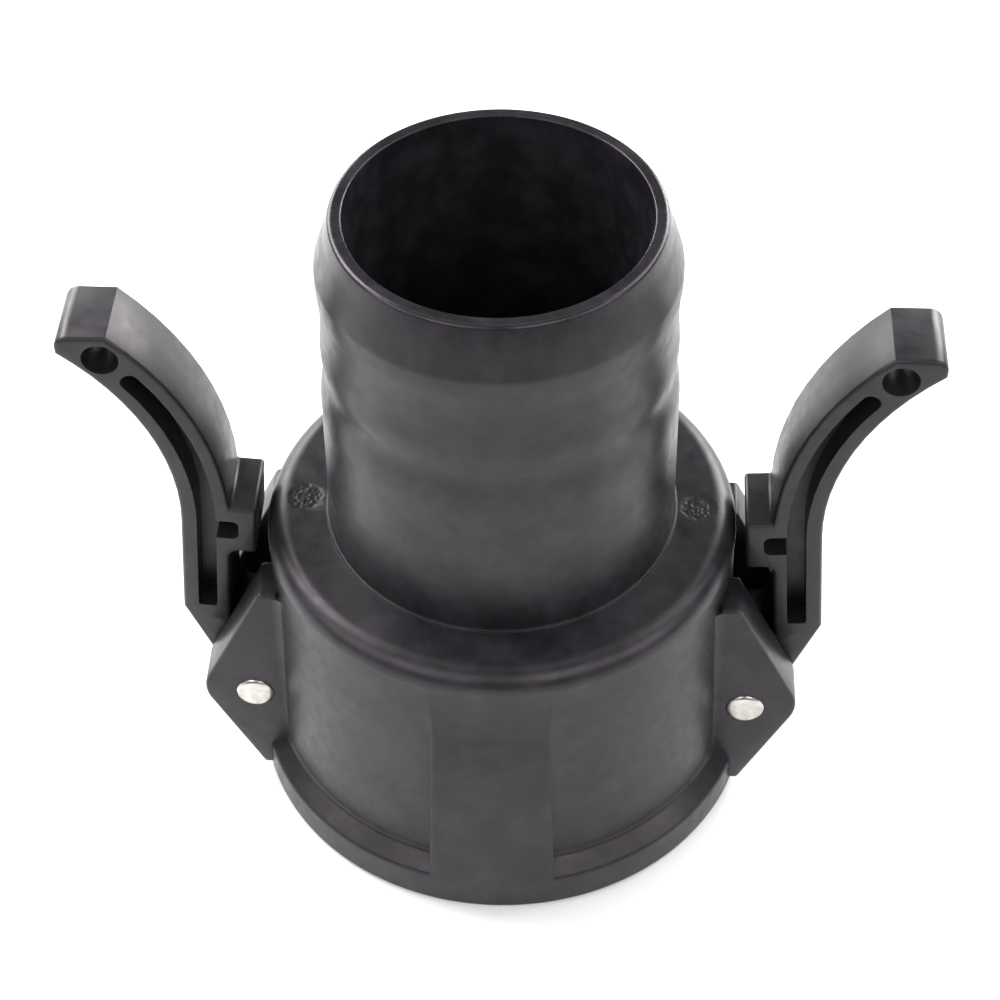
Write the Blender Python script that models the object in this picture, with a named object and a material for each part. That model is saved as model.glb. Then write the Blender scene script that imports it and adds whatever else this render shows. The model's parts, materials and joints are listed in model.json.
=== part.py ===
"""Camlock hose coupler, 2 inch size: a female socket with two cam levers and a barbed hose tail.

The coupler stands on its mouth. +Z runs along the bore from the mouth to the hose tail, the two
levers lie on the X axis with their pins along Y, and the origin is the centre of the mouth face.
"""
import math

import bmesh
import bpy
from mathutils import Matrix, Vector

mm = 0.001
degree = math.pi / 180

# Socket, outside
socket_wall = 4.7 * mm
wall_draft = 1.0 * mm
ledge_width = 2.9 * mm
mouth_band_height = 9.0 * mm
mouth_band_edge = 0.9 * mm
shoulder_height = 51.6 * mm
shoulder_round = 2.8 * mm
shoulder_lip = 0.3 * mm

# Socket, inside
socket_bore_diameter = 63.8 * mm
mouth_lead_in = 1.2 * mm
shoulder_thickness = 6.4 * mm
gasket_lip = 1.4 * mm
gasket_width = 7.9 * mm
gasket_thickness = 6.35 * mm
gasket_edge = 0.6 * mm
gasket_bevel = 1.7 * mm
fit_clearance = 0.3 * mm

# Hose tail
tail_top_height = 109.2 * mm
tail_wall = 4.75 * mm
tail_draft = 0.25 * mm
foot_ring_width = 0.5 * mm
foot_ring_rise = 0.35 * mm
barb_crest_steps = (0.1 * mm, -0.3 * mm, -0.35 * mm)
barb_crest_depths = (31.8 * mm, 22.8 * mm, 10.8 * mm)
barb_valley_depth = 0.42 * mm
barb_ramp = 4.2 * mm
barb_back = 3.0 * mm
lead_in_length = 8.2 * mm
rim_wall = 1.9 * mm
rim_round = 0.9 * mm
waterway_diameter = 43.6 * mm
waterway_draft = 0.5 * mm
waterway_entry_margin = 0.8 * mm
waterway_entry_length = 11.0 * mm

# Flats on the front and back of the socket, flush with the mouth band
pad_width = 19.8 * mm
pad_top_depth = 13.4 * mm

# Ears and pins
pin_stand_off = 2.9 * mm
pin_height = 19.7 * mm
pin_diameter = 6.0 * mm
pin_proud = 0.35 * mm
pin_dome = 0.35 * mm
ear_thickness = 7.45 * mm
ear_side_clearance = 0.65 * mm
ear_top_depth = 8.6 * mm
ear_top_flat = 0.75 * mm
ear_nose_reach = 8.7 * mm
ear_nose_rise = 0.7 * mm
ear_nose_radius = 6.5 * mm
ear_foot_stand_off = 2.7 * mm
ear_foot_height = 1.4 * mm
ear_edge = 0.5 * mm
ear_root_fillet = 2.6 * mm
window_clearance = 1.0 * mm

# Levers, in the closed position; heights are above the pin
lever_thickness = 11.9 * mm
lever_lean = 4.6 * degree
lever_edge = 0.45 * mm
hub_radius = 7.0 * mm
hub_fillet = 2.5 * mm
cam_entry = 3.4 * mm
cam_nose_radius = 4.5 * mm
arm_outer_offset = 12.5 * mm
arm_depth = 7.6 * mm
arm_heel_height = 10.3 * mm
bend_start_height = 30.4 * mm
bend_radius = 40.0 * mm
tip_round = 2.2 * mm
outer_flange = 2.5 * mm
inner_flange = 2.1 * mm
web_thickness = 2.5 * mm
channel_floor_height = 11.1 * mm
channel_end_round = 1.3 * mm
channel_foot_round = 0.5 * mm
lug_gap = 1.0 * mm
lug_rise = 1.9 * mm
lug_height = 9.5 * mm
lug_fillet = 1.5 * mm
lug_slot_height = 3.8 * mm
lug_slot_rise = 3.0 * mm
lug_slot_end_wall = 2.7 * mm
lug_slot_round = 1.1 * mm
tip_hole_diameter = 5.5 * mm
tip_hole_turn = 48.5 * degree
tip_hole_cover = 4.1 * mm
tip_hole_end_cover = 6.57 * mm
tip_hole_spacing = 4.5 * mm

# Facets
turn_steps = 64
gasket_steps = 48
pad_steps = 6
pin_steps = 28
tip_hole_steps = 24
arc_step = 11.0 * degree
overshoot = 1.0 * mm

# Radii, levels and places that follow from the sizes above
bore_radius = socket_bore_diameter / 2
shoulder_radius = bore_radius + socket_wall
ledge_radius = shoulder_radius + wall_draft
mouth_radius = ledge_radius + ledge_width
shoulder_wall_radius = shoulder_radius - shoulder_lip
gasket_radius = bore_radius + gasket_lip
gasket_inner_radius = gasket_radius - gasket_width
groove_radius = gasket_radius + fit_clearance
seal_seat_height = shoulder_height - shoulder_thickness
groove_bottom = seal_seat_height - gasket_thickness - 2 * fit_clearance
waterway_radius = waterway_diameter / 2
neck_radius = waterway_radius + tail_wall
foot_radius = neck_radius + tail_draft
pin_offset = shoulder_radius + pin_stand_off
ear_slot_half = lever_thickness / 2 + ear_side_clearance
ear_outer_half = ear_slot_half + ear_thickness
ear_top_height = shoulder_height - ear_top_depth
pad_top_height = shoulder_height - pad_top_depth
wall_root_radius = bore_radius + socket_wall / 2
cam_reach = pin_stand_off + socket_wall + cam_entry
arm_inner_offset = arm_outer_offset - arm_depth
lug_top_height = shoulder_height + lug_rise - pin_height
lug_bottom_height = lug_top_height - lug_height
lug_offset = (lug_gap - pin_stand_off + lug_top_height * math.sin(lever_lean)) / math.cos(lever_lean)


def clear_scene():
    for thing in list(bpy.data.objects):
        bpy.data.objects.remove(thing)


def make_material(name, colour, roughness, metallic=0.0):
    material = bpy.data.materials.new(name)
    material.use_nodes = True
    shader = material.node_tree.nodes["Principled BSDF"]
    shader.inputs["Base Color"].default_value = (*colour, 1.0)
    shader.inputs["Roughness"].default_value = roughness
    shader.inputs["Metallic"].default_value = metallic
    material.diffuse_color = (*colour, 1.0)
    return material


def arc(centre, radius, start, end):
    """Points of an arc from one angle to another, both ends included."""
    steps = max(1, math.ceil(abs(end - start) / arc_step))
    angles = [start + (end - start) * i / steps for i in range(steps + 1)]
    return [Vector((centre[0] + radius * math.cos(a), centre[1] + radius * math.sin(a))) for a in angles]


def rounded_corner(before, corner, after, radius):
    """Points of a fillet at the corner of two straight edges."""
    back = (before - corner).normalized()
    ahead = (after - corner).normalized()
    half = back.angle(ahead) / 2
    run = radius / math.tan(half)
    centre = corner + (back + ahead).normalized() * (radius / math.sin(half))
    first = corner + back * run - centre
    last = corner + ahead * run - centre
    start = math.atan2(first.y, first.x)
    sweep = (math.atan2(last.y, last.x) - start + math.pi) % (2 * math.pi) - math.pi
    return arc(centre, radius, start, start + sweep)


def new_object(name, bm, material=None):
    bmesh.ops.recalc_face_normals(bm, faces=bm.faces)
    mesh = bpy.data.meshes.new(name)
    bm.to_mesh(mesh)
    bm.free()
    piece = bpy.data.objects.new(name, mesh)
    bpy.context.scene.collection.objects.link(piece)
    if material:
        mesh.materials.append(material)
    return piece


def turned(name, profile, steps, material=None, turn=2 * math.pi, start=0.0):
    """A closed (radius, height) profile spun about Z, through a full turn or a part of one."""
    bm = bmesh.new()
    spot = Matrix.Rotation(start, 3, "Z")
    verts = [bm.verts.new(spot @ Vector((r, 0, z))) for r, z in profile]
    edges = [bm.edges.new((verts[i - 1], verts[i])) for i in range(len(verts))]
    full = turn > 2 * math.pi - 1e-9
    around = {"cent": (0, 0, 0), "axis": (0, 0, 1), "angle": turn, "steps": steps}
    bmesh.ops.spin(bm, geom=edges + verts, use_merge=full, **around)
    if not full:
        bmesh.ops.holes_fill(bm, edges=[edge for edge in bm.edges if edge.is_boundary])
    bmesh.ops.remove_doubles(bm, verts=bm.verts, dist=1e-7)
    return new_object(name, bm, material)


def extruded(name, outline, low, high, material=None):
    """An (x, z) outline extruded along Y from low to high."""
    bm = bmesh.new()
    verts = [bm.verts.new((x, low, z)) for x, z in outline]
    face = bm.faces.new(verts)
    pushed = bmesh.ops.extrude_face_region(bm, geom=[face])
    moved = [item for item in pushed["geom"] if isinstance(item, bmesh.types.BMVert)]
    bmesh.ops.translate(bm, verts=moved, vec=(0, high - low, 0))
    return new_object(name, bm, material)


def post(name, outline, low, high):
    """An (x, y) outline extruded along Z from low to high."""
    bm = bmesh.new()
    face = bm.faces.new([bm.verts.new((x, y, low)) for x, y in outline])
    pushed = bmesh.ops.extrude_face_region(bm, geom=[face])
    moved = [item for item in pushed["geom"] if isinstance(item, bmesh.types.BMVert)]
    bmesh.ops.translate(bm, verts=moved, vec=(0, 0, high - low))
    return new_object(name, bm)


def cross_rod(name, radius, length, steps, x=0.0, z=0.0):
    """A cylinder along Y."""
    bm = bmesh.new()
    bmesh.ops.create_cone(bm, cap_ends=True, segments=steps, radius1=radius, radius2=radius, depth=length)
    bmesh.ops.rotate(bm, verts=bm.verts, matrix=Matrix.Rotation(math.pi / 2, 3, "X"))
    bmesh.ops.translate(bm, verts=bm.verts, vec=(x, 0, z))
    return new_object(name, bm)


def ease_edges(piece, width, angle=50 * degree):
    bevel = piece.modifiers.new("Eased edges", "BEVEL")
    bevel.width = width
    bevel.segments = 1
    bevel.limit_method = "ANGLE"
    bevel.angle_limit = angle


def combine(piece, other, operation):
    """Joins to a piece, or cuts from it, another solid, which stays as a hidden guide."""
    boolean = piece.modifiers.new(other.name, "BOOLEAN")
    boolean.operation = operation
    boolean.solver = "EXACT"
    boolean.object = other
    other.hide_render = True
    other.hide_viewport = True
    other.display_type = "WIRE"


def shade(piece):
    piece.data.shade_smooth()
    piece.data.set_sharp_from_angle(angle=32 * degree)


def tail_profile():
    """The tail's outside from the shoulder to the rim, as (radius, height) points."""
    ring_radius = foot_radius + foot_ring_width
    ring_top = shoulder_height + foot_ring_rise
    points = [Vector((ring_radius, shoulder_height)), Vector((ring_radius, ring_top)),
              Vector((foot_radius, ring_top))]
    crests = [Vector((neck_radius + step, tail_top_height - depth))
              for step, depth in zip(barb_crest_steps, barb_crest_depths)]
    points.append(Vector((neck_radius, crests[0].y - barb_back)))
    for crest, following in zip(crests, crests[1:]):
        valley = min(crest.x, following.x) - barb_valley_depth
        points += [crest, Vector((valley, crest.y + barb_ramp)), Vector((valley, following.y - barb_back))]
    points += [crests[-1], Vector((crests[-1].x, tail_top_height - lead_in_length))]
    rim_corner = Vector((waterway_radius + rim_wall, tail_top_height))
    inside = Vector((waterway_radius, tail_top_height))
    points += rounded_corner(points[-1], rim_corner, inside, rim_round)
    return points


def body_profile():
    """The moulding's section: up the outside from the mouth, over the rim and down the inside."""
    edge = mouth_band_edge
    round_centre = Vector((shoulder_radius - shoulder_round, shoulder_height - shoulder_round))
    outside = [
        Vector((mouth_radius - edge, 0)),
        Vector((mouth_radius, edge)),
        Vector((mouth_radius, mouth_band_height - edge)),
        Vector((mouth_radius - edge, mouth_band_height)),
        Vector((ledge_radius, mouth_band_height)),
        Vector((shoulder_wall_radius, round_centre.y - shoulder_lip)),
    ]
    outside += arc(round_centre, shoulder_round, 0, math.pi / 2)
    inside = [
        Vector((waterway_radius, tail_top_height)),
        Vector((waterway_radius + waterway_draft, seal_seat_height + waterway_entry_length)),
        Vector((gasket_inner_radius - waterway_entry_margin, seal_seat_height)),
        Vector((groove_radius, seal_seat_height)),
        Vector((groove_radius, groove_bottom)),
        Vector((bore_radius, groove_bottom)),
        Vector((bore_radius, mouth_lead_in)),
        Vector((bore_radius + mouth_lead_in, 0)),
    ]
    return outside + tail_profile() + inside


def wall_radius(height):
    """Outer radius of the drafted socket wall between the ledge and the shoulder."""
    wall_top = shoulder_height - shoulder_round - shoulder_lip
    share = (height - mouth_band_height) / (wall_top - mouth_band_height)
    return ledge_radius + (shoulder_wall_radius - ledge_radius) * share


def ear_outline():
    """Side view of one ear on the +X side, from inside the socket wall outwards."""
    top = Vector((shoulder_radius + ear_top_flat, ear_top_height))
    nose = Vector((pin_offset + ear_nose_reach, pin_height + ear_nose_rise))
    foot = Vector((shoulder_radius + ear_foot_stand_off, ear_foot_height))
    outline = [Vector((wall_root_radius, ear_foot_height)), foot]
    outline += rounded_corner(foot, nose, top, ear_nose_radius)
    return outline + [top, Vector((wall_root_radius, ear_top_height))]


def root_fillet_outline():
    """Plan view of the fillet between an ear's outer face and the socket wall, on +X and +Y."""
    wall = shoulder_wall_radius
    centre_y = ear_outer_half + ear_root_fillet
    centre_x = math.sqrt((wall + ear_root_fillet) ** 2 - centre_y ** 2)
    start = math.atan2(centre_y, centre_x) + math.pi
    curve = arc((centre_x, centre_y), ear_root_fillet, start, 1.5 * math.pi)
    behind_face = ear_outer_half - overshoot
    return curve + [Vector((curve[-1].x, behind_face)), Vector((wall_root_radius, behind_face)),
                    curve[0] * (wall_root_radius / wall)]


def side_names():
    return (("right", 1), ("left", -1))


def make_body(material):
    body = turned("coupler_body", body_profile(), turn_steps, material)

    for side, sign in side_names():
        for face, front in (("front", -1), ("back", 1)):
            low, high = sorted((front * ear_slot_half, front * ear_outer_half))
            outline = [(sign * x, z) for x, z in ear_outline()]
            ear = extruded(f"guide_ear_{side}_{face}", outline, low, high)
            ease_edges(ear, ear_edge)
            combine(body, ear, "UNION")
            corner = [(sign * x, front * y) for x, y in root_fillet_outline()]
            low = mouth_band_height - mouth_band_edge
            fillet = post(f"guide_root_{side}_{face}", corner, low, ear_top_height - ear_edge)
            combine(body, fillet, "UNION")

    flush = mouth_radius * math.cos(math.pi / turn_steps)
    pad_half_turn = math.asin(pad_width / 2 / mouth_radius)
    low = mouth_band_height - mouth_band_edge - overshoot
    pad_section = [(wall_root_radius, low), (flush, low), (flush, mouth_band_height),
                   (wall_radius(pad_top_height), pad_top_height), (wall_root_radius, pad_top_height)]
    for face, front in (("front", -1), ("back", 1)):
        start = front * math.pi / 2 - pad_half_turn
        pad = turned(f"guide_pad_{face}", pad_section, pad_steps, turn=2 * pad_half_turn, start=start)
        combine(body, pad, "UNION")

    window_low = pin_height - hub_radius - window_clearance - fit_clearance
    window_high = pin_height + cam_reach + window_clearance
    for side, sign in side_names():
        near, far = sorted((sign * (bore_radius - 2 * ear_slot_half), sign * (pin_offset + ear_nose_reach)))
        outline = [(near, window_low), (far, window_low), (far, window_high), (near, window_high)]
        window = extruded(f"guide_window_{side}", outline, -ear_slot_half, ear_slot_half)
        combine(body, window, "DIFFERENCE")
        hole_radius = pin_diameter / 2 + fit_clearance
        reach = 2 * (ear_outer_half + overshoot)
        pin_x = sign * pin_offset
        hole = cross_rod(f"guide_pin_hole_{side}", hole_radius, reach, pin_steps, pin_x, pin_height)
        combine(body, hole, "DIFFERENCE")
    shade(body)
    return body


def make_gasket(material):
    """The flat seal, with bevelled outer corners that leave its face clear of the groove's lip."""
    low = groove_bottom + fit_clearance
    high = low + gasket_thickness
    inner = gasket_inner_radius
    outer = gasket_radius
    edge = gasket_edge
    bevel = gasket_bevel
    section = [(inner, low + edge), (inner + edge, low), (outer - bevel, low), (outer, low + bevel),
               (outer, high - bevel), (outer - bevel, high), (inner + edge, high), (inner, high - edge)]
    gasket = turned("gasket", section, gasket_steps, material)
    shade(gasket)


def make_pin(side, sign, material):
    """A plain pin with slightly domed ends, which stand a little proud of the ears."""
    bm = bmesh.new()
    radius = pin_diameter / 2
    length = 2 * (ear_outer_half + pin_proud)
    bmesh.ops.create_cone(bm, cap_ends=True, segments=pin_steps, radius1=radius, radius2=radius, depth=length)
    caps = [face for face in bm.faces if abs(face.normal.z) > 0.9]
    for share, rise in ((0.18, 0.55), (0.3, 0.35), (0.3, 0.1)):
        bmesh.ops.inset_region(bm, faces=caps, thickness=radius * share, use_even_offset=True)
        for face in caps:
            lift = math.copysign(pin_dome * rise, face.normal.z)
            bmesh.ops.translate(bm, verts=face.verts, vec=(0, 0, lift))
    bmesh.ops.rotate(bm, verts=bm.verts, matrix=Matrix.Rotation(math.pi / 2, 3, "X"))
    pin = new_object(f"pivot_pin_{side}", bm, material)
    pin.location = (sign * pin_offset, 0, pin_height)
    shade(pin)


def leaned(offset, height):
    """A point beside the arm's straight stretch, in the lever's own frame about its pin."""
    across = Vector((math.cos(lever_lean), math.sin(lever_lean)))
    along = Vector((-math.sin(lever_lean), math.cos(lever_lean)))
    return across * offset + along * height


def bend_centre():
    return leaned(arm_outer_offset + bend_radius, bend_start_height)


def on_bend(radius, angle):
    """A point on the bend, at an angle turned from where the bend starts."""
    turned_angle = math.pi + lever_lean - angle
    return bend_centre() + Vector((math.cos(turned_angle), math.sin(turned_angle))) * radius


def bend_arc(radius, start, end):
    return arc(bend_centre(), radius, math.pi + lever_lean - start, math.pi + lever_lean - end)


def bend_angle_at(radius, height):
    """How far round the bend a point at that radius has turned when it is that high above the pin."""
    return math.asin((height - bend_centre().y) / radius) + lever_lean


def tip_hole_centre():
    return on_bend(bend_radius + arm_depth / 2, tip_hole_turn)


def lever_outline():
    """Side view of a closed right-hand lever about its pin: arm, tip, lug and cam."""
    inner_radius = bend_radius + arm_depth
    tip_reach = tip_hole_centre().x + tip_hole_end_cover
    tip_height = tip_hole_centre().y + tip_hole_cover
    heel = leaned(arm_outer_offset, arm_heel_height)
    outer_end = math.acos((bend_centre().x - tip_reach) / bend_radius) + lever_lean
    inner_end = bend_angle_at(inner_radius, tip_height)
    lug_angle = math.asin((lug_top_height - bend_start_height) / inner_radius)
    outline = [heel] + bend_arc(bend_radius, 0, outer_end)
    tip_inner = on_bend(inner_radius, inner_end)
    outline += rounded_corner(outline[-1], Vector((tip_reach, tip_height)), tip_inner, tip_round)
    outline += bend_arc(inner_radius, inner_end, lug_angle)

    fillet_offset = arm_inner_offset - hub_fillet
    fillet_height = math.sqrt((hub_radius + hub_fillet) ** 2 - fillet_offset ** 2)
    lug_low = leaned(lug_offset, lug_bottom_height)
    lug_root = leaned(arm_inner_offset, lug_bottom_height)
    outline += [leaned(lug_offset, lug_top_height), lug_low]
    outline += rounded_corner(lug_low, lug_root, leaned(arm_inner_offset, fillet_height), lug_fillet)
    fillet_centre = leaned(fillet_offset, fillet_height)
    hub_touch = math.atan2(fillet_centre.y, fillet_centre.x)
    outline += arc(fillet_centre, hub_fillet, lever_lean, hub_touch - math.pi)

    nose_offset = cam_reach - cam_nose_radius
    spread = math.acos((hub_radius - cam_nose_radius) / nose_offset)
    outline += arc((0, 0), hub_radius, hub_touch, math.pi - spread)[1:]
    outline += arc((-nose_offset, 0), cam_nose_radius, math.pi - spread, math.pi + spread)
    leave = math.atan2(heel.y, heel.x) - math.acos(hub_radius / heel.length)
    outline += arc((0, 0), hub_radius, math.pi + spread, leave + 2 * math.pi)
    return outline


def channel_outline():
    """The long pocket along the arm, with its corners rounded, more so at its upper end."""
    outer = bend_radius + outer_flange
    inner = bend_radius + arm_depth - inner_flange
    end_angle = tip_hole_turn - tip_hole_spacing / (bend_radius + arm_depth / 2)
    round_angle = end_angle - channel_end_round / bend_radius
    low_outer = leaned(arm_outer_offset - outer_flange, channel_floor_height)
    low_inner = leaned(arm_inner_offset + inner_flange, channel_floor_height)
    outer_curve = bend_arc(outer, 0, round_angle)
    inner_curve = bend_arc(inner, round_angle, 0)
    corner_outer = on_bend(outer, end_angle)
    corner_inner = on_bend(inner, end_angle)
    end = rounded_corner(outer_curve[-1], corner_outer, corner_inner, channel_end_round)
    end += rounded_corner(corner_outer, corner_inner, inner_curve[0], channel_end_round)
    foot = rounded_corner(inner_curve[-1], low_inner, low_outer, channel_foot_round)
    foot += rounded_corner(low_inner, low_outer, outer_curve[0], channel_foot_round)
    return outer_curve[:-1] + end + inner_curve[1:] + foot


def lug_slot_outline():
    """The short pocket that runs from the channel into the lug."""
    channel_side = arm_inner_offset + inner_flange + overshoot
    lug_side = lug_offset + lug_slot_end_wall
    low = lug_bottom_height + lug_slot_rise
    high = low + lug_slot_height
    mouth = [leaned(channel_side, low), leaned(channel_side, high)]
    end = [leaned(lug_side, high), leaned(lug_side, low)]
    outline = mouth + rounded_corner(mouth[1], end[0], end[1], lug_slot_round)
    return outline + rounded_corner(end[0], end[1], mouth[0], lug_slot_round)


def make_lever(side, sign, material):
    """One cam lever. Its origin is on its pin's axis, and the left one is turned half round."""
    half = lever_thickness / 2
    lever = extruded(f"cam_lever_{side}", lever_outline(), -half, half, material)
    ease_edges(lever, lever_edge)
    web_half = web_thickness / 2
    for face, front in (("front", -1), ("back", 1)):
        low, high = sorted((front * web_half, front * (half + overshoot)))
        for pocket, outline in (("channel", channel_outline()), ("slot", lug_slot_outline())):
            cutter = extruded(f"guide_{pocket}_{side}_{face}", outline, low, high)
            cutter.parent = lever
            combine(lever, cutter, "DIFFERENCE")
    reach = lever_thickness + 2 * overshoot
    bore = cross_rod(f"guide_bore_{side}", pin_diameter / 2 + fit_clearance, reach, pin_steps)
    spot = tip_hole_centre()
    hole = cross_rod(f"guide_tip_hole_{side}", tip_hole_diameter / 2, reach, tip_hole_steps, spot.x, spot.y)
    for cutter in (bore, hole):
        cutter.parent = lever
        combine(lever, cutter, "DIFFERENCE")
    shade(lever)
    lever.rotation_euler = (0, 0, 0 if sign > 0 else math.pi)
    lever.location = (sign * pin_offset, 0, pin_height)


def main():
    clear_scene()
    moulding = make_material("Black glass-filled polypropylene", (0.033, 0.032, 0.034), 0.42)
    lever_plastic = make_material("Black lever polypropylene", (0.028, 0.027, 0.029), 0.38)
    steel = make_material("Stainless steel", (0.72, 0.70, 0.66), 0.24, 1.0)
    rubber = make_material("Black nitrile rubber", (0.015, 0.015, 0.015), 0.75)
    make_body(moulding)
    make_gasket(rubber)
    for side, sign in side_names():
        make_lever(side, sign, lever_plastic)
        make_pin(side, sign, steel)


main()
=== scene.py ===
"""The looks of a 2 inch camlock hose coupler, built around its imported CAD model.

The file is laid out as an add-on. The sizes and colours stand in property groups, each piece has an
operator, and the sidebar's Coupler tab lists them in the order that they are made in. +Z runs along
the bore from the mouth to the hose tail, and the two levers lie on the X axis.
"""
import json
import math

import bmesh
import bpy
from bpy.props import FloatProperty, FloatVectorProperty, PointerProperty
from mathutils import Matrix, Vector, noise

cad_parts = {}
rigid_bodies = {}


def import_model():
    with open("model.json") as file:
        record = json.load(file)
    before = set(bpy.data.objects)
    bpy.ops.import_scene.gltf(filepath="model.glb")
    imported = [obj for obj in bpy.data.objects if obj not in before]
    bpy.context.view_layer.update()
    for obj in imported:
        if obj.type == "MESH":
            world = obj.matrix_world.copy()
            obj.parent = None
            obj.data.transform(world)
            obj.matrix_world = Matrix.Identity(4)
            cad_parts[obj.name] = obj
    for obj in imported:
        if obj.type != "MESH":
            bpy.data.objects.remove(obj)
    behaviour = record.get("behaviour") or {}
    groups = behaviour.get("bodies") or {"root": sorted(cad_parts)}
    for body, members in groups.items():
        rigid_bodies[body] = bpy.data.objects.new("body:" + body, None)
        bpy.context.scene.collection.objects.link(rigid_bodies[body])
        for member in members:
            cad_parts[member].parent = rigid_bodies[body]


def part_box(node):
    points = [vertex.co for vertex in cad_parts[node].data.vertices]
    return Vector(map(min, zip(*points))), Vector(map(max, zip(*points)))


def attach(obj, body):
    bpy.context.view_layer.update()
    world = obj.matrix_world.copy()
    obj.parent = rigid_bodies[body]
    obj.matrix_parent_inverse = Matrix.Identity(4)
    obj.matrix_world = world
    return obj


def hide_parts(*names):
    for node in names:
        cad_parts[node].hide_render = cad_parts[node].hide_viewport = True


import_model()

bl_info = {
    "name": "Camlock hose coupler looks",
    "version": (1, 0, 0),
    "blender": (4, 5, 0),
    "location": "3D View > Sidebar > Coupler",
    "description": "Models and finishes the pieces of a camlock hose coupler around its CAD frame",
    "category": "Object",
}

MM = 0.001
DEGREE = math.pi / 180

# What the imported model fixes
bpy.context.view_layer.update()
BODY_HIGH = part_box("coupler_body")[1]
PIN_LOW, PIN_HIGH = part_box("pivot_pin_right")
PIN_CENTRE = (PIN_LOW + PIN_HIGH) / 2
PIN_RADIUS = (PIN_HIGH.z - PIN_LOW.z) / 2
LEVER_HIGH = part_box("cam_lever_right")[1]
TIP_HEIGHT = LEVER_HIGH.z - PIN_CENTRE.z
TIP_REACH = LEVER_HIGH.x - PIN_CENTRE.x
GASKET_LOW, GASKET_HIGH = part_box("gasket")

# Facets
TURN_STEPS = 192
PIN_STEPS = 64
DOME_STEPS = 8
PAD_STEPS = 18
ARC_STEP = 5 * DEGREE
SHARP_ANGLE = 38 * DEGREE
EASED_ANGLE = 50 * DEGREE

# Nearer points are merged, shorter edges are left out, and cutters reach this far out
MERGE_DISTANCE = 1e-7
LEAST_EDGE = 1e-6
OVERSHOOT = 1 * MM

# Roundings without a setting: lengths, and shares of the size each belongs to
BORE_ROUND = 0.3 * MM
GROOVE_ROUND = 0.2 * MM
ENTRY_ROUND = 3 * MM
BEVEL_ROUND = 0.5 * MM
INNER_RIM_SHARE = 0.35
FOOT_RING_SHARES = (0.1, 0.5, 0.3)
LIP_RISE_SHARE = 0.6
LIP_ROUND_SHARE = 0.4

# The share of an edge that its fillets may take up
EDGE_SHARE = 0.98

# The gate marks: rings, the edge's shares of radius and depth, and the floor's waves
GATE_STEPS = 64
GATE_RINGS = 18
GATE_FLOOR_RINGS = 14
GATE_EDGE = ((0.85, 0.8), (0.93, 0.4), (1, 0))
GATE_TEARS = ((0.5, 2.5), (1, 6))
GATE_LEAST_DEPTH = 0.02 * MM
GATE_MARK_Y = -0.4 * MM

# The noises in the materials: size of the features, octaves and roughness
PATCH_NOISE = (6 * MM, 6.0, 0.62)
SHINE_NOISE = (2.2 * MM, 5.0, 0.6)
RIPPLE_NOISE = (2.0, 0.5)
GRAIN_NOISE = (3.0, 0.6)
SPOT_NOISE = (1.6 * MM, 4.0)
DUST_NOISE = (3 * MM, 5.0)
RUBBER_GRAIN_SIZE = 0.25 * MM
FLOOR_CLOUD_SIZE = 400 * MM

# Between which of a noise's values it takes effect
PATCH_SPAN = (0.42, 0.68)
SHINE_SPAN = (0.3, 0.7)
SPOT_SPAN = (0.35, 0.7)
DUST_SPAN = (0.45, 0.75)
FLOOR_SPAN = (0.3, 0.7)

# How far a noise moves the roughness
PLASTIC_SWING = (-0.06, 0.08)
STEEL_SWING = (-0.06, 0.1)
RUBBER_SWING = (0, 0.12)

# Other values in the materials
POLISH_FADE = 1 * MM
DULL_SHARE = 0.72
DUST_GAIN = 2.2
TURNING_SCALE = 0.35 / (0.3 * MM)
TURNING_DEPTH = 0.004 * MM
RUBBER_GRAIN_DEPTH = 0.012 * MM

FLOOR_DROP = 0.05 * MM
FLOOR_TONES = ((0.9, 0.9, 0.9), (0.92, 0.92, 0.92))

SIDES = (("right", 1), ("left", -1))

# The barbs' crests, lowest first: how far out from the neck, and how far below the rim
BARB_CRESTS = ((0.1 * MM, 31.8 * MM), (-0.3 * MM, 22.8 * MM), (-0.35 * MM, 10.8 * MM))


def length(name, description, millimetres):
    """A length setting, given in millimetres and kept in metres."""
    default = millimetres * MM
    return FloatProperty(
        name=name, description=description, default=default, subtype="DISTANCE", unit="LENGTH", precision=5)


def angle(name, description, degrees):
    """An angle setting, given in degrees and kept in radians."""
    default = degrees * DEGREE
    return FloatProperty(
        name=name, description=description, default=default, subtype="ANGLE", unit="ROTATION", precision=3)


def share(name, description, default):
    """A setting from 0 to 1."""
    return FloatProperty(
        name=name, description=description, default=default, min=0, max=1, subtype="FACTOR")


def amount(name, description, default):
    """A setting that is a plain positive number."""
    return FloatProperty(name=name, description=description, default=default, min=0, precision=3)


def colour(name, description, default):
    """A setting that is a linear colour."""
    return FloatVectorProperty(
        name=name, description=description, default=default, min=0, max=1, size=3, subtype="COLOR")


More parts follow.
